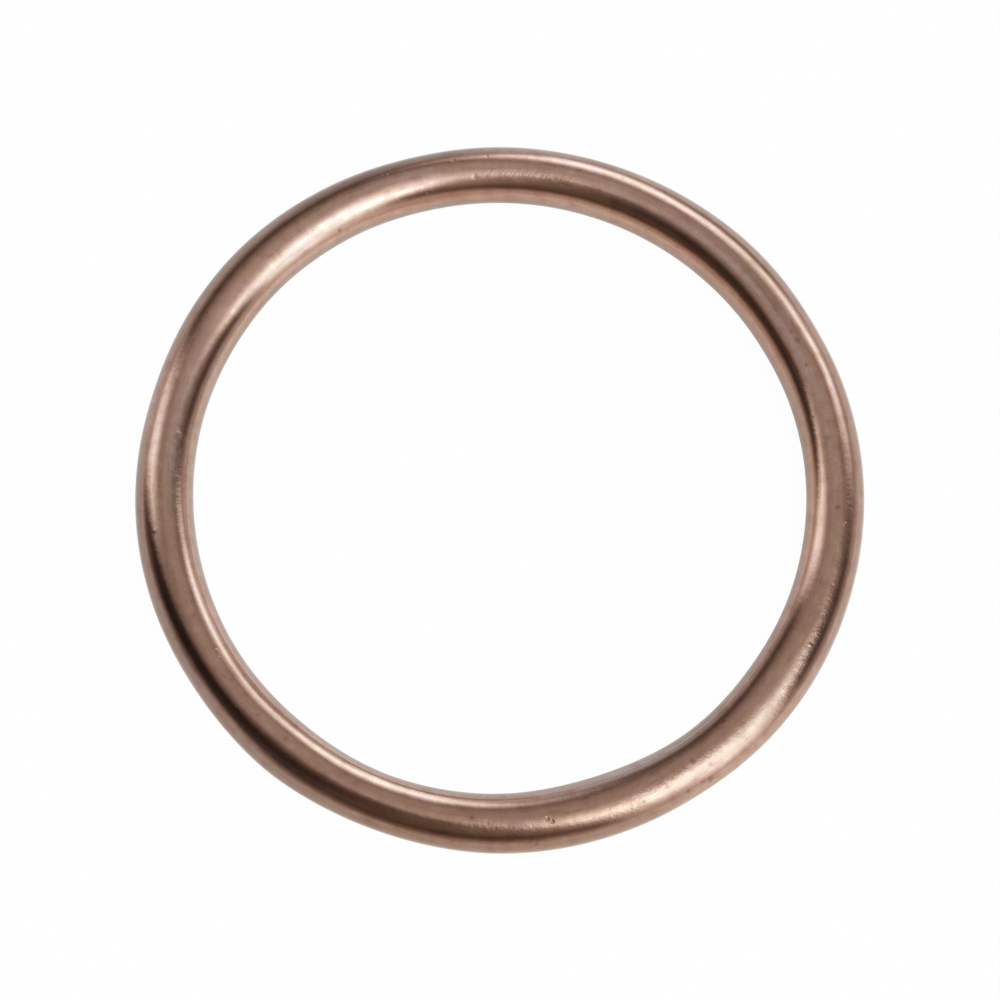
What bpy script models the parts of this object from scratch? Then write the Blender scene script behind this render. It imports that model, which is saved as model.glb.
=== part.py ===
# Exhaust gasket: a crush ring of rolled copper sheet, for the joint between a cylinder head's
# exhaust port and the pipe's flange. Metres, +Z up. The origin is the centre of the lower
# sealing seat, so the ring lies on z = 0 with its axis along Z.

import math

import bmesh
import bpy
from mathutils import Vector

MM = 0.001

# The ring as it is made, before the flange crushes it
BORE_DIAMETER = 42.0 * MM
OUTER_DIAMETER = 50.0 * MM
HEIGHT = 3.6 * MM
SEAT_WIDTH = 0.6 * MM  # flat that the forming tools press on the top and on the bottom

# The seam where the sheet laps over itself, on the underside towards the bore.
# Angles on the section start at the outer side and run over the top towards the bore.
SHEET = 0.25 * MM  # thickness of the copper, and so the step at the lap
EDGE_ROUNDING = 0.08 * MM  # on the cut edge of the sheet
LAP_EDGE = math.radians(228.0)  # where the outer turn of the sheet ends
SINK_START = math.radians(258.0)  # where the inner turn starts to sink below the outer one

# Fineness of the mesh
RING_STEPS = 96
ARC_STEP = math.radians(13.0)  # most that one facet of the section turns
SHARP_ANGLE = math.radians(40.0)

COPPER = (0.41, 0.26, 0.21, 1.0)
COPPER_ROUGHNESS = 0.28

# Worked out from the sizes above: the section is an ellipse, cut flat by the two seats
RING_RADIUS = (BORE_DIAMETER + OUTER_DIAMETER) / 4
HALF_WIDTH = (OUTER_DIAMETER - BORE_DIAMETER) / 4
SEAT_ANGLE = math.acos(SEAT_WIDTH / 2 / HALF_WIDTH)  # where the flat ends and the round begins
HALF_HEIGHT = HEIGHT / 2 / math.sin(SEAT_ANGLE)  # of the whole ellipse
OUTER_SIDE = 0.0
BORE_SIDE = math.pi


def clear_scene():
    for obj in list(bpy.data.objects):
        bpy.data.objects.remove(obj, do_unlink=True)


def section_point(angle, depth=0.0):
    """A point of the section in the XZ plane, sunk by depth below the rolled skin."""
    radius = RING_RADIUS + (HALF_WIDTH - depth) * math.cos(angle)
    return Vector((radius, 0.0, HEIGHT / 2 + (HALF_HEIGHT - depth) * math.sin(angle)))


def arc(start, end, depth_at=lambda angle: 0.0):
    """Points of the section from one angle to another, both ends included."""
    steps = math.ceil(abs(end - start) / ARC_STEP)
    angles = (start + (end - start) * step / steps for step in range(steps + 1))
    return [section_point(angle, depth_at(angle)) for angle in angles]


def inner_turn_depth(angle):
    """How far the inner turn lies below the skin: nothing at first, one sheet at the lap."""
    way = (SINK_START - angle) / (SINK_START - LAP_EDGE)
    way = min(max(way, 0.0), 1.0)
    return SHEET * way * way * (3.0 - 2.0 * way)


def rolled_section():
    """Outline of the section, in the order in which the sheet is rolled.

    It starts at the free edge of the outer turn, climbs the bore's wall to the upper seat,
    comes down the outer side to the lower seat and sinks under the outer turn. Points lie on
    the bore's and the outer side's own diameters, so both are true.
    """
    free_edge = [section_point(LAP_EDGE, EDGE_ROUNDING)]
    lower_bore = arc(LAP_EDGE - EDGE_ROUNDING / HALF_HEIGHT, BORE_SIDE)
    upper_bore = arc(BORE_SIDE, BORE_SIDE - SEAT_ANGLE)[1:]
    upper_outer = arc(SEAT_ANGLE, OUTER_SIDE)
    lower_outer = arc(OUTER_SIDE, -SEAT_ANGLE)[1:]
    inner_turn = arc(BORE_SIDE + SEAT_ANGLE, LAP_EDGE, inner_turn_depth)
    return free_edge + lower_bore + upper_bore + upper_outer + lower_outer + inner_turn


def turn_about_axis(name, outline):
    """A closed mesh made by spinning a closed outline once round the Z axis."""
    bm = bmesh.new()
    verts = [bm.verts.new(point) for point in outline]
    edges = [bm.edges.new((verts[i - 1], verts[i])) for i in range(len(verts))]
    bmesh.ops.spin(
        bm, geom=verts + edges, cent=(0.0, 0.0, 0.0), axis=(0.0, 0.0, 1.0),
        angle=2 * math.pi, steps=RING_STEPS, use_merge=True,
    )
    bmesh.ops.recalc_face_normals(bm, faces=bm.faces)
    mesh = bpy.data.meshes.new(name)
    bm.to_mesh(mesh)
    bm.free()
    mesh.shade_smooth()
    mesh.set_sharp_from_angle(angle=SHARP_ANGLE)
    return mesh


def copper_material():
    material = bpy.data.materials.new("copper")
    material.use_nodes = True
    shader = material.node_tree.nodes["Principled BSDF"]
    shader.inputs["Base Color"].default_value = COPPER
    shader.inputs["Metallic"].default_value = 1.0
    shader.inputs["Roughness"].default_value = COPPER_ROUGHNESS
    return material


def build_gasket_ring():
    ring = bpy.data.objects.new("gasket_ring", turn_about_axis("gasket_ring", rolled_section()))
    ring.data.materials.append(copper_material())
    bpy.context.scene.collection.objects.link(ring)


clear_scene()
build_gasket_ring()
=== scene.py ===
import math

import bpy
import numpy as np
from mathutils import Matrix, Vector, noise


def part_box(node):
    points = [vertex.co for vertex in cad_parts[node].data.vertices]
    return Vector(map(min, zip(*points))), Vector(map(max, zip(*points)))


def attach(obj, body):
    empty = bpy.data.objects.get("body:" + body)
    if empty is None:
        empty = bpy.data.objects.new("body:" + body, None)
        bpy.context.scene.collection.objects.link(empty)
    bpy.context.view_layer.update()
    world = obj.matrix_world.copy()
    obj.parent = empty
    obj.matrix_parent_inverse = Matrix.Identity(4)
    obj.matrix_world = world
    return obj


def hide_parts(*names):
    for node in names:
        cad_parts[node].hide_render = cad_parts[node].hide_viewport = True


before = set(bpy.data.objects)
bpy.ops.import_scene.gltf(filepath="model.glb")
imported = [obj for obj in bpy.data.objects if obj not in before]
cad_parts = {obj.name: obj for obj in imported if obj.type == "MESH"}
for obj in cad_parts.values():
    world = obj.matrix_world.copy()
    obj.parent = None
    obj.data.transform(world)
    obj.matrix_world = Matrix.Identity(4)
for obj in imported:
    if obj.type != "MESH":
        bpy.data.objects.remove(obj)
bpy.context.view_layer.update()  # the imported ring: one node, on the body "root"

mm = 0.001
ringNode = "gasket_ring"
ringLow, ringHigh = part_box(ringNode)
outerRadius = (ringHigh.x - ringLow.x) / 2
ringHeight = ringHigh.z - ringLow.z
boreRadius = min(math.hypot(v.co.x, v.co.y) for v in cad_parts[ringNode].data.vertices)
ringRadius = (outerRadius + boreRadius) / 2
print("frame: ring %.1f x %.1f mm" % (2000 * boreRadius, 2000 * outerRadius))


# small helpers for node trees

def plug(tree, socket, value):
    if isinstance(value, bpy.types.NodeSocket):
        tree.links.new(value, socket)
    elif value is not None:
        socket.default_value = value


def addNode(tree, kind, inputs=(), **settings):
    node = tree.nodes.new(kind)
    for name, value in settings.items():
        setattr(node, name, value)
    for name, value in dict(inputs).items():
        plug(tree, node.inputs[name], value)
    return node


def calc(tree, operation, *values):
    node = addNode(tree, "ShaderNodeMath", operation=operation)
    for socket, value in zip(node.inputs, values):
        plug(tree, socket, value)
    return node.outputs[0]


def vectorCalc(tree, operation, *values, output=0):
    node = addNode(tree, "ShaderNodeVectorMath", operation=operation)
    for socket, value in zip(node.inputs, values):
        plug(tree, socket, value)
    return node.outputs[output]


def scaled(tree, vector, amount):
    node = addNode(tree, "ShaderNodeVectorMath", {0: vector, "Scale": amount}, operation="SCALE")
    return node.outputs[0]


def partOf(tree, vector, axis):
    return addNode(tree, "ShaderNodeSeparateXYZ", {0: vector}).outputs[axis]


def ramp(tree, value, fromMin, fromMax, toMin=0.0, toMax=1.0):
    node = addNode(tree, "ShaderNodeMapRange", {
        "Value": value, "From Min": fromMin, "From Max": fromMax, "To Min": toMin, "To Max": toMax,
    }, interpolation_type="SMOOTHSTEP")
    return node.outputs["Result"]


def blendColour(tree, share, first, second):
    node = addNode(tree, "ShaderNodeMix", {0: share, 6: first, 7: second}, data_type="RGBA")
    return node.outputs[2]


def newGroup(name, kind, inputs, outputs):
    # inputs: name, socket type and default; outputs: name and socket type
    tree = bpy.data.node_groups.new(name, kind)
    for label, socketType, default in inputs:
        socket = tree.interface.new_socket(label, in_out="INPUT", socket_type=socketType)
        if default is not None:
            socket.default_value = default
    for label, socketType in outputs:
        tree.interface.new_socket(label, in_out="OUTPUT", socket_type=socketType)
    return tree, tree.nodes.new("NodeGroupInput").outputs, tree.nodes.new("NodeGroupOutput").inputs


# the ring: a sheet rolled into a nearly round section, swept round the bore.
# angles on the section start at the outer side: 90 is the top, 180 the bore

ringShape = {
    "Ring Radius": ringRadius - 0.04 * mm,  # leaves room for the sways inside the frame's box
    "Arc Width": (outerRadius - boreRadius) / 2,
    "Arc Height": ringHeight / 2,
    "Sheet": 0.25 * mm,  # step where the sheet laps over itself
    "Edge Rounding": 0.06 * mm,
    "Edge Share": 0.025,  # of the way along the sheet, over which its cut edge is rounded
    "Lap Edge": math.radians(228),
    "Sink Start": math.radians(258),
    "Around Steps": 900,
    "Roll Steps": 100,
    "Ripple": 0.012 * mm,  # unevenness left by the rolling
    "Ripple Scale": 420.0,
    "Seed": 4.0,
    "Weld": 0.002 * mm,  # closes the grid's edges
}


def rolledRingTree():
    floatNames = [name for name, value in ringShape.items() if isinstance(value, float)]
    inputs = [(n, "NodeSocketFloat", ringShape[n]) for n in floatNames]
    inputs += [(n, "NodeSocketInt", ringShape[n]) for n in ("Around Steps", "Roll Steps")]
    inputs += [("Copper", "NodeSocketMaterial", None)]
    outputs = [("Geometry", "NodeSocketGeometry")]
    tree, given, out = newGroup("rolledRing", "GeometryNodeTree", inputs, outputs)

    # a flat grid: X becomes the way round the bore, Y the way along the rolled sheet
    grid = addNode(tree, "GeometryNodeMeshGrid", {
        "Size X": 1.0, "Size Y": 1.0,
        "Vertices X": calc(tree, "ADD", given["Around Steps"], 1.0),
        "Vertices Y": calc(tree, "ADD", given["Roll Steps"], 1.0),
    })
    mapped = addNode(tree, "GeometryNodeStoreNamedAttribute", {
        "Geometry": grid.outputs["Mesh"], "Name": "UVMap", "Value": grid.outputs["UV Map"],
    }, data_type="FLOAT2", domain="CORNER")
    place = addNode(tree, "GeometryNodeInputPosition").outputs[0]
    around = calc(tree, "MULTIPLY", calc(tree, "ADD", partOf(tree, place, "X"), 0.5), math.tau)
    roll = calc(tree, "ADD", partOf(tree, place, "Y"), 0.5)

    # the last step of the grid is the cut edge that closes the section
    step = calc(tree, "MULTIPLY", roll, given["Roll Steps"])
    lastStep = calc(tree, "SUBTRACT", given["Roll Steps"], 1.0)
    turn = calc(tree, "MINIMUM", calc(tree, "DIVIDE", step, lastStep), 1.0)
    angle = calc(tree, "SUBTRACT", given["Lap Edge"], calc(tree, "MULTIPLY", turn, math.tau))
    sinkFrom = calc(tree, "SUBTRACT", math.tau, given["Sink Start"])
    sinkTo = calc(tree, "SUBTRACT", math.tau, given["Lap Edge"])
    turnedBack = calc(tree, "MULTIPLY", angle, -1.0)
    innerTurn = ramp(tree, turnedBack, sinkFrom, sinkTo, 0.0, given["Sheet"])
    freeEdge = ramp(tree, turn, 0.0, given["Edge Share"], given["Edge Rounding"], 0.0)
    closing = calc(tree, "GREATER_THAN", step, calc(tree, "ADD", lastStep, 0.5))
    opened = calc(tree, "SUBTRACT", 1.0, closing)
    openDepth = calc(tree, "MULTIPLY", calc(tree, "ADD", innerTurn, freeEdge), opened)
    depth = calc(tree, "ADD", openDepth, calc(tree, "MULTIPLY", closing, given["Edge Rounding"]))

    # the section is a slightly flattened round
    across, up = calc(tree, "COSINE", angle), calc(tree, "SINE", angle)
    reach = calc(tree, "MULTIPLY", calc(tree, "SUBTRACT", given["Arc Width"], depth), across)
    radius = calc(tree, "ADD", given["Ring Radius"], reach)
    rise = calc(tree, "MULTIPLY", calc(tree, "SUBTRACT", given["Arc Height"], depth), up)
    rolled = addNode(tree, "ShaderNodeCombineXYZ", {
        "X": calc(tree, "MULTIPLY", radius, calc(tree, "COSINE", around)),
        "Y": calc(tree, "MULTIPLY", radius, calc(tree, "SINE", around)),
        "Z": calc(tree, "ADD", given["Arc Height"], rise),
    })
    swept = addNode(tree, "GeometryNodeSetPosition", {
        "Geometry": mapped.outputs[0], "Position": rolled.outputs[0],
    })
    outward = addNode(tree, "GeometryNodeFlipFaces", {"Mesh": swept.outputs[0]})
    closed = addNode(tree, "GeometryNodeMergeByDistance", {
        "Geometry": outward.outputs[0], "Distance": given["Weld"],
    })

    # the rolling leaves a faint ripple, always inwards
    ripple = addNode(tree, "ShaderNodeTexNoise", {
        "Scale": given["Ripple Scale"], "Detail": 1.0, "W": given["Seed"],
    }, noise_dimensions="4D")
    inwards = calc(tree, "MULTIPLY", calc(tree, "MULTIPLY", ripple.outputs[0], given["Ripple"]), -1.0)
    offset = scaled(tree, addNode(tree, "GeometryNodeInputNormal").outputs[0], inwards)
    rippled = addNode(tree, "GeometryNodeSetPosition", {"Geometry": closed.outputs[0], "Offset": offset})
    smooth = addNode(tree, "GeometryNodeSetShadeSmooth", {"Geometry": rippled.outputs[0]})
    real = addNode(tree, "GeometryNodeRealizeInstances", {"Geometry": smooth.outputs[0]})
    painted = addNode(tree, "GeometryNodeSetMaterial", {
        "Geometry": real.outputs[0], "Material": given["Copper"],
    })
    plug(tree, out["Geometry"], painted.outputs[0])
    return tree


def makeFromTree(name, tree, values):
    # runs a tree on an empty object and keeps the result as a plain mesh
    maker = bpy.data.objects.new(name + "Maker", bpy.data.meshes.new(name + "Maker"))
    bpy.context.scene.collection.objects.link(maker)
    modifier = maker.modifiers.new("make", "NODES")
    modifier.node_group = tree
    for item in tree.interface.items_tree:
        if item.in_out == "INPUT" and item.name in values:
            modifier[item.identifier] = values[item.name]
    evaluated = maker.evaluated_get(bpy.context.evaluated_depsgraph_get())
    mesh = bpy.data.meshes.new_from_object(evaluated)
    maker.modifiers.remove(modifier)
    bpy.data.objects.remove(maker)
    mesh.name = name
    piece = bpy.data.objects.new(name, mesh)
    bpy.context.scene.collection.objects.link(piece)
    return piece


# what making and handling have done to the ring, with painted highlights and dark reflections among the
# patches.
# every row starts with its azimuth in degrees from +X, seen from above; sizes are in mm

ringWear = {
    # out of round: azimuth, half length in degrees, and how far the outer side, the inner side and
    # the crest are pushed outwards
    "sways": [
        (10, 12, 0.02, 0.03, -0.15), (35, 8, -0.07, -0.04, -0.08), (50, 14, 0.05, -0.03, -0.05),
        (85, 12, -0.02, 0.01, 0.03), (109, 10, -0.09, 0, 0.13), (122, 9, 0.01, 0.06, 0.02),
        (140, 14, 0.11, 0.1, -0.06), (170, 12, -0.12, 0.04, -0.01), (195, 12, -0.01, 0, -0.13),
        (218, 12, -0.11, 0.04, -0.02), (237, 7, 0.06, -0.01, -0.14), (255, 14, -0.05, 0.15, -0.02),
        (273, 9, 0.06, 0.03, 0.01), (285, 8, 0.03, -0.06, 0.06), (296, 11, -0.01, -0.17, 0.11),
        (308, 10, -0.08, 0.01, -0.03), (330, 12, 0.03, -0.1, -0.1), (345, 12, -0.01, -0.01, 0.03),
    ],
    # scuffed skin: azimuth, section angle, half length and half width in degrees, strength
    "scuffs": [
        (92, 98, 9, 16, 0.8), (186, 112, 10, 14, 0.8), (276, 76, 13, 16, 0.55),
        (305, 80, 15, 20, 1.0), (350, 70, 18, 14, 1.0), (32, 93, 12, 12, 0.35),
    ],
    # calm skin, smoother than the rest, in the same way
    "calm": [(138, 128, 26, 34, 0.85)],
    # the bore's wall is pressed a little flat: azimuth, half length, and how deep in mm
    "boreFlats": [
        (75, 75, 0.035), (205, 40, 0.005), (345, 28, 0.03), (45, 16, -0.025), (115, 24, -0.015),
        (250, 11, 0.06),
    ],
    # where the metal or its oxide is paler, darker, warmer or cooler than elsewhere; many lighter and darker
    # patches are painted highlights and painted dark reflections: azimuth, section angle, half length and
    # half width in degrees, tint
    "patches": [
        # broad ones
        (100, 95, 48, 50, (1.17, 1.22, 1.26)), (270, 40, 38, 48, (0.895, 0.803, 0.702)),
        (60, 143, 45, 22, (1.17, 1.07, 0.95)),
        # and local ones, by azimuth
        (20, 76, 8, 8, (1.17, 1.17, 1.15)), (24, 118, 16, 16, (1.38, 1.38, 1.36)),
        (35, 98, 34, 9, (1.0, 1.11, 1.2)), (43, 89, 11, 5, (0.74, 0.72, 0.72)),
        (47, 110, 12, 10, (1.24, 1.28, 1.3)), (47, 132, 13, 10, (1.34, 1.37, 1.39)),
        (52, 43, 22, 6, (1.1, 1.1, 1.08)), (62, 55, 24, 6, (0.68, 0.67, 0.66)),
        (72, 130, 36, 5, (0.95, 0.82, 0.68)), (88, 112, 16, 9, (1.2, 1.2, 1.19)),
        (92, 142, 26, 7, (1.26, 1.22, 1.16)), (110, 120, 7, 4, (1.4, 1.45, 1.48)),
        (110, 150, 12, 9, (1.03, 0.85, 0.76)), (111, 131, 7, 4, (0.7, 0.62, 0.58)),
        (120, 51, 22, 11, (0.6, 0.6, 0.63)), (133, 124, 22, 8, (0.88, 0.88, 0.89)),
        (138, 149, 26, 10, (1.36, 1.33, 1.26)), (150, 97, 18, 12, (1.22, 1.24, 1.28)),
        (155, 118, 9, 8, (1.26, 1.28, 1.26)), (171, 34, 11, 14, (1.34, 1.33, 1.3)),
        (176, 106, 14, 12, (1.0, 1.14, 1.24)), (188, 106, 10, 8, (0.84, 0.84, 0.85)),
        (200, 67, 7, 6, (0.62, 0.62, 0.64)), (208, 136, 30, 8, (1.32, 1.35, 1.38)),
        (209, 62, 11, 15, (0.62, 0.62, 0.66)), (215, 45, 7, 6, (0.7, 0.7, 0.72)),
        (225, 71, 11, 7, (0.54, 0.54, 0.56)), (229, 50, 8, 7, (1.45, 1.4, 1.37)),
        (231, 50, 13, 9, (1.0, 1.13, 1.32)), (245, 8, 16, 14, (0.88, 0.9, 0.92)),
        (245, 127, 9, 13, (1.2, 1.27, 1.3)), (251, 76, 12, 6, (0.88, 0.88, 0.88)),
        (252, 65, 10, 4, (1.26, 1.24, 1.2)), (254, 46, 12, 5, (0.66, 0.66, 0.66)),
        (258, 57, 16, 7, (1.2, 1.17, 1.15)), (291, 75, 10, 9, (1.22, 1.22, 1.21)),
        (291, 129, 13, 10, (1.36, 1.45, 1.54)), (303, 138, 17, 14, (1.0, 1.26, 1.48)),
        (315, 147, 14, 5, (0.74, 0.74, 0.72)), (316, 27, 17, 15, (1.36, 1.31, 1.24)),
        (335, 56, 8, 5, (0.82, 0.82, 0.83)), (358, 140, 14, 11, (1.25, 1.19, 1.12)),
    ],
    "scuffSize": 0.55,
    "scuffFineness": 2.3,  # how many times smaller the fine scuffs are
    "scuffDepth": 0.004,
    "wallFrom": (133, 160),  # section angles between which the bore's pressed wall begins
    "wallTo": (195, 225),  # and ends
    # dents: azimuth, section angle, diameter, depth
    "dents": [
        (99.8, 110, 0.42, 0.004), (216.5, 107, 0.45, 0.012), (227.0, 64, 0.35, 0.01),
        (283.2, 80, 0.5, 0.014), (270.2, 90, 0.4, 0.014), (317.5, 111, 0.4, 0.01),
        (302.0, 107, 0.4, 0.01), (176.2, 111, 0.5, 0.01), (348.5, 72, 0.5, 0.01),
        (182.5, 108, 0.5, 0.01), (114.8, 70, 0.35, 0.008), (128.0, 80, 0.35, 0.006),
    ],
}


def turnBetween(angle, middle):
    # the shorter way from one angle to another, in degrees
    return (angle - middle + 180) % 360 - 180


def nearness(azimuth, section, row):
    # 1 in the middle of a patch, falling off smoothly
    middleAzimuth, middleSection, halfLength, halfWidth = row
    along = turnBetween(azimuth, middleAzimuth)
    across = turnBetween(section, middleSection)
    return np.exp(-(along / halfLength) ** 2 - (across / halfWidth) ** 2)


def strongest(azimuth, section, rows):
    # the strongest of some patches, each with its strength in the last column
    mask = np.zeros(len(azimuth))
    for row in rows:
        mask = np.maximum(mask, row[4] * nearness(azimuth, section, row[:4]))
    return mask


def smoothStep(value, start, end):
    way = np.clip((value - start) / (end - start), 0, 1)
    return way * way * (3 - 2 * way)


def wearRing(piece):
    mesh = piece.data
    points = np.empty(len(mesh.vertices) * 3)
    mesh.vertices.foreach_get("co", points)
    points = points.reshape(-1, 3)
    width, height = ringShape["Arc Width"], ringShape["Arc Height"]
    azimuth = np.degrees(np.arctan2(points[:, 1], points[:, 0]))
    out = (np.hypot(points[:, 0], points[:, 1]) - ringShape["Ring Radius"]) / width
    up = (points[:, 2] - height) / height
    section = np.degrees(np.arctan2(up, out))
    radial = np.stack([np.cos(np.radians(azimuth)), np.sin(np.radians(azimuth)), 0 * azimuth], 1)

    # the section is pushed in or out along the ring's radius, more on one side than on the other
    push = np.zeros(len(points))
    for middle, halfLength, depth in ringWear["boreFlats"]:
        push -= depth * nearness(azimuth, 0, (middle, 0, halfLength, 1)) * (1 - out) / 2
    for middle, halfLength, outerPush, innerPush, crestPush in ringWear["sways"]:
        share = np.exp(-(turnBetween(azimuth, middle) / halfLength) ** 2)
        push += share * (outerPush * (1 + out) + innerPush * (1 - out)) / 2
        push += share * crestPush * np.clip(up, 0, 1) ** 2
    points += radial * (push * mm)[:, None]

    # scuffs and dents go in along the skin's normal
    normal = radial * (out / width)[:, None]
    normal[:, 2] = up / height
    normal /= np.linalg.norm(normal, axis=1, keepdims=True)
    scuffed = strongest(azimuth, section, ringWear["scuffs"])
    calm = strongest(azimuth, section, ringWear["calm"])
    size = ringWear["scuffSize"] * mm
    coarse = np.array([noise.noise(Vector(p) / size) for p in points])
    fine = np.array([noise.noise(Vector(p) * ringWear["scuffFineness"] / size) for p in points])
    sink = scuffed * (0.5 + 0.5 * (coarse + 0.5 * fine)) * ringWear["scuffDepth"]
    wall = smoothStep(section % 360, *ringWear["wallFrom"])
    wall = wall * (1 - smoothStep(section % 360, *ringWear["wallTo"]))
    for middle, halfLength, depth in ringWear["boreFlats"]:
        sink += depth * wall * nearness(azimuth, 0, (middle, 0, halfLength, 1))
    for middle, middleSection, diameter, depth in ringWear["dents"]:
        lengthDegrees = math.degrees(diameter / 2 * mm / ringShape["Ring Radius"])
        widthDegrees = math.degrees(diameter / 2 * mm / height)
        sink += depth * nearness(azimuth, section, (middle, middleSection, lengthDegrees, widthDegrees))
    points -= normal * (sink * mm)[:, None]
    mesh.vertices.foreach_set("co", points.ravel())
    mesh.attributes.new("scuffed", "FLOAT", "POINT").data.foreach_set("value", scuffed)
    mesh.attributes.new("calm", "FLOAT", "POINT").data.foreach_set("value", calm)
    # patch tints for the base colour: oxide tone, painted highlights and painted dark reflections
    tint = np.ones((len(points), 3))
    for row in ringWear["patches"]:
        tint *= 1 + nearness(azimuth, section, row[:4])[:, None] * (np.array(row[4]) - 1)
    mesh.attributes.new("oxideAndReflectionTint", "FLOAT_VECTOR", "POINT").data.foreach_set("vector", tint.ravel())
    mesh.update()


# copper: lightly oxidised, satin to glossy

copperLook = {
    "clean": (0.395, 0.247, 0.194, 1.0),
    "brown": (0.327, 0.19, 0.139, 1.0),
    "pale": (0.442, 0.293, 0.241, 1.0),
    "rosy": (1.01, 0.985, 1.02),  # tints over the oxide
    "golden": (0.995, 1.01, 0.95),
    "tarnish": (0.17, 0.08, 0.052, 1.0),
    "roughness": 0.13,
    "scuffRoughness": 0.05,  # added on the scuffs
    "boreRoughness": 0.17,  # added on the bore side
    "tarnishRoughness": 0.25,  # added on the spots
    "boreSide": (0.268, 0.235),  # shares of the way along the sheet where the bore side begins
    "cloudSize": 3.4,  # sizes and heights in mm
    "cloudEdge": (0.45, 0.75),
    "cloudStrength": 0.4,
    "mottleSize": 0.9,
    "brownBelow": (0.33, 0.5),  # shades at which the oxide turns brown
    "paleAbove": (0.5, 0.67),
    "tintSize": 1.3,
    "tintEdge": (0.35, 0.65),
    "streakShare": 0.35,  # of the shade; the rest is mottle
    "streakLength": 1.6,
    "streakWidth": 0.11,
    "waveSize": 0.42,
    "waveHeight": 0.004,
    "scuffWaveHeight": 0.013,
    "grainSize": 0.15,
    "grainHeight": 0.0012,
    "scuffGrainHeight": 0.0065,
    "streakHeight": 0.003,  # more on the scuffs
    "hairlineLength": 0.9,
    "hairlineWidth": 0.15,
    "hairlineHeight": 0.024,
    "hairlineSlant": 0.58,
    "farSide": 0.8,  # ring radii towards +Y from which the hairlines show
    "farCalm": 0.6,  # and the waves fade by so much
    "spotFray": 0.2,
    "spotEdge": (0.2, 1.2),  # in the spot's own radii
    # tarnish spots: azimuth, section angle, diameter in mm, strength
    "spots": [
        (32.2, 91, 0.55, 0.61), (34, 93, 0.4, 0.41), (27.5, 97, 0.3, 0.54), (39.2, 94, 0.9, 0.27),
        (18.2, 123, 0.45, 0.61), (13.8, 99, 0.6, 0.34), (1.5, 90, 0.45, 0.68), (85.2, 106, 0.35, 0.47),
        (77.2, 112, 0.7, 0.41), (126.5, 138, 0.4, 0.54), (146, 97, 0.5, 0.27), (236, 96, 0.5, 0.41),
        (229.8, 94, 0.35, 0.34), (270.2, 90, 0.3, 0.68), (283.2, 80, 0.35, 0.54), (281, 50, 0.9, 0.47),
        (280.8, 35, 0.5, 0.47), (277.5, 70, 1.5, 0.27), (309, 91, 0.5, 0.61), (310, 37, 0.7, 0.54),
        (308.8, 42, 0.55, 0.41), (306, 41, 0.5, 0.47), (314.8, 10, 0.6, 0.41), (307.2, 90, 0.35, 0.34),
        (311.2, 65, 0.45, 0.27), (303.2, 73, 0.35, 0.27), (298.8, 67, 0.35, 0.27),
        (179.5, 120, 0.7, 0.34),
    ],
    # pits and specks: azimuth, section angle, diameter, depth (a raised speck has a negative one)
    "pits": [
        (99.8, 110, 0.5, 0.004), (103.2, 70, 0.33, 0.006), (97.5, 67, 0.33, 0.006),
        (70.8, 86, 0.26, -0.006), (64.2, 52, 0.33, 0.0075), (108.5, 130, 0.33, 0.0075),
        (176.2, 112, 0.52, 0.01), (182.5, 109, 0.39, -0.0075), (190, 106, 0.33, -0.006),
        (193.3, 70, 0.39, -0.005), (216.5, 107, 0.39, -0.01), (217.8, 102, 0.39, -0.01),
        (227, 64, 0.33, -0.008), (348.5, 73, 0.39, -0.01), (358.8, 74, 0.33, -0.01),
        (337.2, 73, 0.33, -0.01), (270.2, 90, 0.39, 0.01), (272.8, 82, 0.39, 0.0075),
        (282.8, 84, 0.35, 0.02), (283.5, 77, 0.35, 0.02), (274.2, 70, 0.33, 0.006),
        (317.5, 112, 0.39, -0.013), (302, 107, 0.39, -0.01), (114.8, 70, 0.33, -0.0075),
        (128, 80, 0.33, -0.006), (343.2, 86, 0.52, 0.006),
    ],
}


def onSkin(azimuth, section):
    # a place on the ring's skin
    a, s = math.radians(azimuth), math.radians(section)
    radius = ringShape["Ring Radius"] + ringShape["Arc Width"] * math.cos(s)
    height = ringShape["Arc Height"]
    return Vector((radius * math.cos(a), radius * math.sin(a), height + height * math.sin(s)))


def tubeNoiseGroup():
    # noise in the ring's own directions: round the bore, and over the rolled sheet
    tree, given, out = newGroup("tubeNoise", "ShaderNodeTree", [
        ("Position", "NodeSocketVector", None), ("Roll", "NodeSocketFloat", 0.0),
        ("Slant", "NodeSocketFloat", 0.0), ("Size Around", "NodeSocketFloat", 1.0),
        ("Size Across", "NodeSocketFloat", 1.0),
    ], [("Value", "NodeSocketFloat")])
    rollLength = math.pi * (ringShape["Arc Width"] + ringShape["Arc Height"])
    spoke = vectorCalc(tree, "NORMALIZE", vectorCalc(tree, "MULTIPLY", given["Position"], (1, 1, 0)))
    leanPerRoll = calc(tree, "MULTIPLY", given["Slant"], rollLength / ringRadius)
    lean = calc(tree, "MULTIPLY", given["Roll"], leanPerRoll)
    turned = addNode(tree, "ShaderNodeVectorRotate", {
        "Vector": spoke, "Angle": lean,
    }, rotation_type="Z_AXIS")
    around = scaled(tree, turned.outputs[0], calc(tree, "DIVIDE", ringRadius / mm, given["Size Around"]))
    rolled = calc(tree, "MULTIPLY", given["Roll"], rollLength / mm)
    across = addNode(tree, "ShaderNodeCombineXYZ", {
        "Z": calc(tree, "DIVIDE", rolled, given["Size Across"]),
    })
    lines = addNode(tree, "ShaderNodeTexNoise", {
        "Vector": vectorCalc(tree, "ADD", around, across.outputs[0]), "Scale": 1.0, "Detail": 2.0,
    })
    plug(tree, out["Value"], lines.outputs[0])
    return tree


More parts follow.
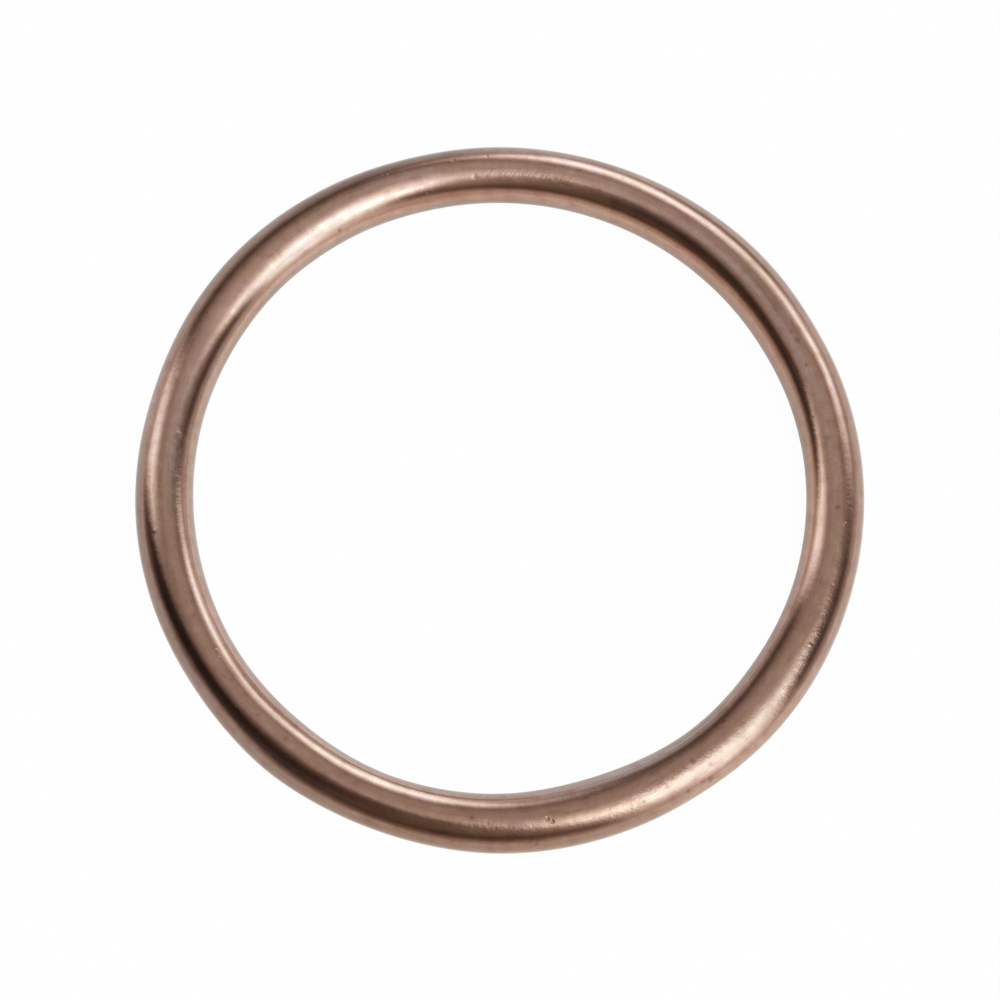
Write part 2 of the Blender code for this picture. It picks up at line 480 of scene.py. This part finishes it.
def spotGroup():
    # a soft ragged spot round a place on the skin
    tree, given, out = newGroup("spot", "ShaderNodeTree", [
        ("Position", "NodeSocketVector", None), ("Centre", "NodeSocketVector", None),
        ("Radius", "NodeSocketFloat", 0.2 * mm), ("Ragged", "NodeSocketFloat", 0.5),
        ("Strength", "NodeSocketFloat", 1.0),
    ], [("Mask", "NodeSocketFloat")])
    away = vectorCalc(tree, "DISTANCE", given["Position"], given["Centre"], output="Value")
    fray = calc(tree, "SUBTRACT", given["Ragged"], 0.5)
    reach = calc(tree, "ADD", calc(tree, "DIVIDE", away, given["Radius"]), fray)
    mask = calc(tree, "MULTIPLY", ramp(tree, reach, *copperLook["spotEdge"], 1.0, 0.0), given["Strength"])
    plug(tree, out["Mask"], mask)
    return tree


def copperMaterial():
    material = bpy.data.materials.new("oxidisedCopper")
    material.use_nodes = True
    tree = material.node_tree
    shader = tree.nodes["Principled BSDF"]
    position = addNode(tree, "ShaderNodeTexCoord").outputs["Object"]
    roll = partOf(tree, addNode(tree, "ShaderNodeUVMap", uv_map="UVMap").outputs[0], "Y")
    scuffed = addNode(tree, "ShaderNodeAttribute", attribute_name="scuffed").outputs["Fac"]
    calm = addNode(tree, "ShaderNodeAttribute", attribute_name="calm").outputs["Fac"]
    oxideAndReflectionTint = addNode(tree, "ShaderNodeAttribute", attribute_name="oxideAndReflectionTint").outputs["Vector"]
    look = copperLook

    def cloud(size, detail=2.0, roughness=0.5):
        return addNode(tree, "ShaderNodeTexNoise", {
            "Vector": position, "Scale": 1 / (size * mm), "Detail": detail, "Roughness": roughness,
        }).outputs[0]

    tubeNoise = tubeNoiseGroup()

    def tubeLines(sizeAround, sizeAcross, slant=0.0):
        node = addNode(tree, "ShaderNodeGroup", node_tree=tubeNoise)
        plug(tree, node.inputs["Position"], position)
        plug(tree, node.inputs["Roll"], roll)
        for name, value in (("Size Around", sizeAround), ("Size Across", sizeAcross), ("Slant", slant)):
            node.inputs[name].default_value = value
        return node.outputs["Value"]

    spot = spotGroup()
    ragged = cloud(look["spotFray"])

    def spotMask(azimuth, section, diameter, strength):
        node = addNode(tree, "ShaderNodeGroup", node_tree=spot)
        plug(tree, node.inputs["Position"], position)
        plug(tree, node.inputs["Ragged"], ragged)
        node.inputs["Centre"].default_value = onSkin(azimuth, section)
        node.inputs["Radius"].default_value = diameter / 2 * mm
        node.inputs["Strength"].default_value = strength
        return node.outputs["Mask"]

    # oxide: soft brown and pale clouds, drawn out in streaks by the rolling
    streaks = tubeLines(look["streakLength"], look["streakWidth"])
    mottle = cloud(look["mottleSize"], 4.0, 0.65)
    streaky = calc(tree, "MULTIPLY", streaks, look["streakShare"])
    shade = calc(tree, "ADD", streaky, calc(tree, "MULTIPLY", mottle, 1 - look["streakShare"]))
    brownShare = ramp(tree, shade, *look["brownBelow"], 1.0, 0.0)
    paleShare = ramp(tree, shade, *look["paleAbove"], 0.0, 1.0)
    cloudShare = ramp(tree, cloud(look["cloudSize"]), *look["cloudEdge"], 0.0, look["cloudStrength"])
    colour = blendColour(tree, brownShare, look["clean"], look["brown"])
    colour = blendColour(tree, paleShare, colour, look["pale"])
    colour = blendColour(tree, cloudShare, colour, look["brown"])
    tints = ramp(tree, cloud(look["tintSize"], 3.0, 0.6), *look["tintEdge"])
    tint = addNode(tree, "ShaderNodeMix", {0: tints, 4: look["rosy"], 5: look["golden"]}, data_type="VECTOR")
    colour = vectorCalc(tree, "MULTIPLY", colour, tint.outputs[1])
    # the patch tints carry oxide tone, and also painted highlights and painted dark reflections
    colour = vectorCalc(tree, "MULTIPLY", colour, oxideAndReflectionTint)
    tarnish = 0.0
    for row in look["spots"]:
        tarnish = calc(tree, "MAXIMUM", tarnish, spotMask(*row))
    plug(tree, shader.inputs["Base Color"], blendColour(tree, tarnish, colour, look["tarnish"]))
    shader.inputs["Metallic"].default_value = 1.0
    roughness = calc(tree, "MULTIPLY_ADD", scuffed, look["scuffRoughness"], look["roughness"])
    boreSide = ramp(tree, roll, *look["boreSide"], 0.0, 1.0)
    roughness = calc(tree, "MULTIPLY_ADD", boreSide, look["boreRoughness"], roughness)
    roughness = calc(tree, "MULTIPLY_ADD", tarnish, look["tarnishRoughness"], roughness)
    plug(tree, shader.inputs["Roughness"], roughness)

    # skin: waves, grain, and hairlines where it has been rubbed
    hairlines = tubeLines(look["hairlineWidth"], look["hairlineLength"], look["hairlineSlant"])
    farSide = ramp(tree, partOf(tree, position, "Y"), look["farSide"] * ringRadius, ringRadius)
    nearSide = calc(tree, "MULTIPLY_ADD", farSide, -look["farCalm"], 1.0)
    waves = calc(tree, "MULTIPLY", cloud(look["waveSize"], 1.0), nearSide)
    height = 0.0
    for value, plain, rubbed in (
        (waves, look["waveHeight"], look["scuffWaveHeight"]),
        (cloud(look["grainSize"], 1.0), look["grainHeight"], look["scuffGrainHeight"]),
        (streaks, look["grainHeight"], look["streakHeight"]),
        (calc(tree, "MULTIPLY", hairlines, farSide), 0.0, look["hairlineHeight"]),
    ):
        share = calc(tree, "MULTIPLY_ADD", scuffed, rubbed, plain)
        height = calc(tree, "MULTIPLY_ADD", value, share, height)
    height = calc(tree, "MULTIPLY", height, calc(tree, "SUBTRACT", 1.0, calm))
    for azimuth, section, diameter, depth in look["pits"]:
        height = calc(tree, "SUBTRACT", height, spotMask(azimuth, section, diameter, depth))
    bump = addNode(tree, "ShaderNodeBump", {"Height": height, "Distance": mm, "Strength": 1.0})
    plug(tree, shader.inputs["Normal"], bump.outputs[0])
    return material


sharpAngle = math.radians(50)  # only the cut edge of the sheet is sharper


def makeRing():
    piece = makeFromTree("gasketRing", rolledRingTree(), {**ringShape, "Copper": copperMaterial()})
    wearRing(piece)
    piece.data.set_sharp_from_angle(angle=sharpAngle)
    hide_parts(ringNode)
    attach(piece, "root")
    print("ring: %d faces" % len(piece.data.polygons))
    return piece


# the studio: a polished ring shows mostly its surroundings

studio = {
    "nearHorizon": (-10.0, 35.0),  # elevations in degrees between which the white floor fades out
    "overhead": (21.3, 66.6),
    "room": 0.073,
    "ceiling": 0.59,
    "dimTint": (1.0, 0.782, 0.690),  # dim parts of the room are warm
    "lightTint": (0.0, 0.221, 0.317),  # and light makes them cooler by so much
    "floorSize": 4.0,
    "floorGap": 0.01 * mm,  # keeps the ring's lowest points clear of it
    "floorWhite": (0.98, 0.98, 0.98, 1.0),
    "floorGlow": 0.975,  # how much of it is evenly white, under the ring's shadow
    "paintedFootEdge": (0.03, 0.38),  # how far from the ring, in ring radii, the reflected floor carries painted shade and light
    # how the ring sees the floor inside the bore and round it, painted with light and shade: in general
    # (painted caustic light inside the bore), added towards the right (painted light), and added next to the
    # ring (painted shadow inside, painted warm light outside)
    "paintedInsideFloor": [(1.16, 1.26, 1.35), (-0.12, -0.15, -0.16), (-0.25, -0.26, -0.34)],
    "paintedOutsideFloor": [(0.924, 1.015, 1.087), (0.159, 0.165, 0.15), (0.096, 0.067, -0.038)],
}

# each box: azimuth and elevation of its middle, half width, half height and tilt in degrees,
# softness of its edge, strength
lightBoxes = {
    "key": (335.7, 39.8, 7.8, 24.9, -15.8, 0.78, 2.11),
    "keySide": (314.7, 49.9, 7.6, 24.9, -0.1, 1.00, 2.21),
    "strip": (74.9, 28.4, 15.6, 11.1, -23.4, 1.00, 2.29),
    "stripEnd": (83.3, 17.5, 6.6, 13.9, -34.7, 0.09, 0.42),
    "stripStart": (41.3, 28.2, 10.0, 10.1, 64.7, 1.00, 2.01),
    "left": (159.5, 34.6, 8.5, 16.6, -4.0, 0.85, 1.98),
    "zenith": (320.2, 58.3, 60.0, 14.4, 62.7, 1.00, 0.20),
    "card": (30.2, 17.0, 18.9, 17.1, -19.4, 0.11, 0.13),
}
# dark screens in front of the room, in the same way
darkFlags = {
    "high": (221.3, 53.2, 23.6, 17.4, 34.7, 0.81, 0.85),
    "low": (178.4, 33.7, 17.9, 23.9, -22.2, 0.21, 0.48),
}


def direction(azimuth, elevation):
    a, e = math.radians(azimuth), math.radians(elevation)
    return Vector((math.cos(e) * math.cos(a), math.cos(e) * math.sin(a), math.sin(e)))


def boxMaskGroup():
    # 1 inside a soft-edged rounded rectangle on the sky, 0 outside
    tree, given, out = newGroup("skyBox", "ShaderNodeTree", [
        ("Direction", "NodeSocketVector", None), ("Middle", "NodeSocketVector", None),
        ("Across", "NodeSocketVector", None), ("Up", "NodeSocketVector", None),
        ("Softness", "NodeSocketFloat", 0.5),
    ], [("Mask", "NodeSocketFloat")])
    along = {}
    for name in ("Middle", "Across", "Up"):
        along[name] = vectorCalc(tree, "DOT_PRODUCT", given["Direction"], given[name], output="Value")
    toSide = calc(tree, "POWER", calc(tree, "ABSOLUTE", along["Across"]), 4.0)
    toTop = calc(tree, "POWER", calc(tree, "ABSOLUTE", along["Up"]), 4.0)
    reach = calc(tree, "POWER", calc(tree, "ADD", toSide, toTop), 0.25)
    inner = calc(tree, "SUBTRACT", 1.0, given["Softness"])
    outer = calc(tree, "ADD", 1.0, given["Softness"])
    inside = ramp(tree, reach, inner, outer, 1.0, 0.0)
    ahead = calc(tree, "GREATER_THAN", along["Middle"], 0.0)
    plug(tree, out["Mask"], calc(tree, "MULTIPLY", inside, ahead))
    return tree


def makeStudio():
    world = bpy.data.worlds.new("studio")
    bpy.context.scene.world = world
    world.use_nodes = True
    tree = world.node_tree
    background = tree.nodes["Background"]
    toSky = addNode(tree, "ShaderNodeTexCoord").outputs["Generated"]
    upwards = calc(tree, "ARCSINE", partOf(tree, toSky, "Z"))
    elevation = calc(tree, "MULTIPLY", upwards, 180 / math.pi)
    boxGroup = boxMaskGroup()

    def boxMask(azimuth, boxElevation, halfWidth, halfHeight, tilt, softness):
        middle = direction(azimuth, boxElevation)
        across = Vector((0, 0, 1)).cross(middle).normalized()
        turned = Matrix.Rotation(math.radians(tilt), 3, middle)
        across, up = turned @ across, turned @ middle.cross(across)
        node = addNode(tree, "ShaderNodeGroup", node_tree=boxGroup)
        plug(tree, node.inputs["Direction"], toSky)
        node.inputs["Middle"].default_value = middle
        node.inputs["Across"].default_value = across / math.sin(math.radians(halfWidth))
        node.inputs["Up"].default_value = up / math.sin(math.radians(halfHeight))
        node.inputs["Softness"].default_value = softness
        return node.outputs["Mask"]

    haze = ramp(tree, elevation, *studio["nearHorizon"], 1.0, 0.0)
    overhead = ramp(tree, elevation, *studio["overhead"], 0.0, studio["ceiling"] - studio["room"])
    level = calc(tree, "ADD", calc(tree, "MULTIPLY", haze, 1 - studio["room"]), studio["room"])
    level = calc(tree, "ADD", level, overhead)
    for *place, strength in darkFlags.values():
        unhidden = calc(tree, "MULTIPLY_ADD", boxMask(*place), -strength, 1.0)
        level = calc(tree, "MULTIPLY", level, unhidden)
    for *place, strength in lightBoxes.values():
        level = calc(tree, "MULTIPLY_ADD", boxMask(*place), strength, level)

    # the brighter, the cooler
    tint = vectorCalc(tree, "ADD", scaled(tree, studio["lightTint"], level), studio["dimTint"])
    plug(tree, background.inputs["Color"], scaled(tree, tint, level))
    print("studio: %d light boxes" % len(lightBoxes))


def makeFloor():
    half = studio["floorSize"] / 2
    corners = [(-half, -half, 0), (half, -half, 0), (half, half, 0), (-half, half, 0)]
    mesh = bpy.data.meshes.new("floor")
    mesh.from_pydata(corners, [], [(0, 1, 2, 3)])
    floor = bpy.data.objects.new("floor", mesh)
    floor.location.z = -studio["floorGap"]
    bpy.context.scene.collection.objects.link(floor)
    material = bpy.data.materials.new("whiteFloor")
    material.use_nodes = True
    tree = material.node_tree
    tree.nodes.clear()
    place = addNode(tree, "ShaderNodeTexCoord").outputs["Object"]
    flat = vectorCalc(tree, "MULTIPLY", place, (1, 1, 0))
    reach = vectorCalc(tree, "LENGTH", flat, output="Value")
    toRight = partOf(tree, vectorCalc(tree, "NORMALIZE", flat), "X")
    fromRing = calc(tree, "ABSOLUTE", calc(tree, "SUBTRACT", calc(tree, "DIVIDE", reach, ringRadius), 1.0))
    footShadeAndLight = ramp(tree, fromRing, *studio["paintedFootEdge"], 1.0, 0.0)
    # what the ring reflects of the floor is painted light and shade: shade and warm light next to the ring,
    # more light towards the right and inside the bore; the camera sees plain white
    tones = []
    for name in ("paintedOutsideFloor", "paintedInsideFloor"):
        plain, right, foot = studio[name]
        added = vectorCalc(tree, "ADD", scaled(tree, right, toRight), scaled(tree, foot, footShadeAndLight))
        tones.append(vectorCalc(tree, "ADD", added, plain))
    tone = blendColour(tree, calc(tree, "LESS_THAN", reach, ringRadius), *tones)
    path = addNode(tree, "ShaderNodeLightPath").outputs
    reflected = calc(tree, "MAXIMUM", path["Is Glossy Ray"], path["Is Transmission Ray"])
    glow = addNode(tree, "ShaderNodeEmission", {
        "Color": blendColour(tree, reflected, (1, 1, 1, 1), tone), "Strength": 1.0,
    })
    matt = addNode(tree, "ShaderNodeBsdfDiffuse", {"Color": studio["floorWhite"]})
    seen = calc(tree, "MAXIMUM", path["Is Camera Ray"], reflected)
    mixed = addNode(tree, "ShaderNodeMixShader", {
        "Fac": calc(tree, "MULTIPLY", seen, studio["floorGlow"]), 1: matt.outputs[0], 2: glow.outputs[0],
    })
    addNode(tree, "ShaderNodeOutputMaterial", {"Surface": mixed.outputs[0]})
    mesh.materials.append(material)
    print("floor: %.0f m wide" % studio["floorSize"])


# camera: above and in front, a long lens, turned a little about its own axis

cameraSetup = {
    "distance": 10.68 * ringRadius,
    "elevation": 74.82,
    "roll": 5.34,
    "sensorWidth": 36,
    "pictureWidth": 1000,
    "ringPixels": 335.47,  # the ring's centreline radius in the photograph
    "aim": (0.035 * mm, -0.625 * mm),  # where the middle of the picture meets the ring's plane
}


def makeCamera():
    centre = Vector((0, 0, ringHeight / 2))
    away = -direction(90, -cameraSetup["elevation"])
    data = bpy.data.cameras.new("camera")
    data.sensor_width = cameraSetup["sensorWidth"]
    focalPixels = cameraSetup["ringPixels"] * cameraSetup["distance"] / ringShape["Ring Radius"]
    data.lens = data.sensor_width * focalPixels / cameraSetup["pictureWidth"]
    data.clip_start, data.clip_end = 0.01, 10
    camera = bpy.data.objects.new("camera", data)
    camera.location = centre + away * cameraSetup["distance"]
    aim = centre + Vector((*cameraSetup["aim"], 0))
    facing = (aim - camera.location).to_track_quat("-Z", "Y").to_matrix()
    turned = facing @ Matrix.Rotation(math.radians(cameraSetup["roll"]), 3, "Z")
    camera.rotation_euler = turned.to_euler()
    bpy.context.scene.collection.objects.link(camera)
    bpy.context.scene.camera = camera
    print("camera: %.0f mm lens" % data.lens)


makeCamera()
makeStudio()
makeFloor()
makeRing()
bpy.context.scene.view_settings.view_transform = "Standard"
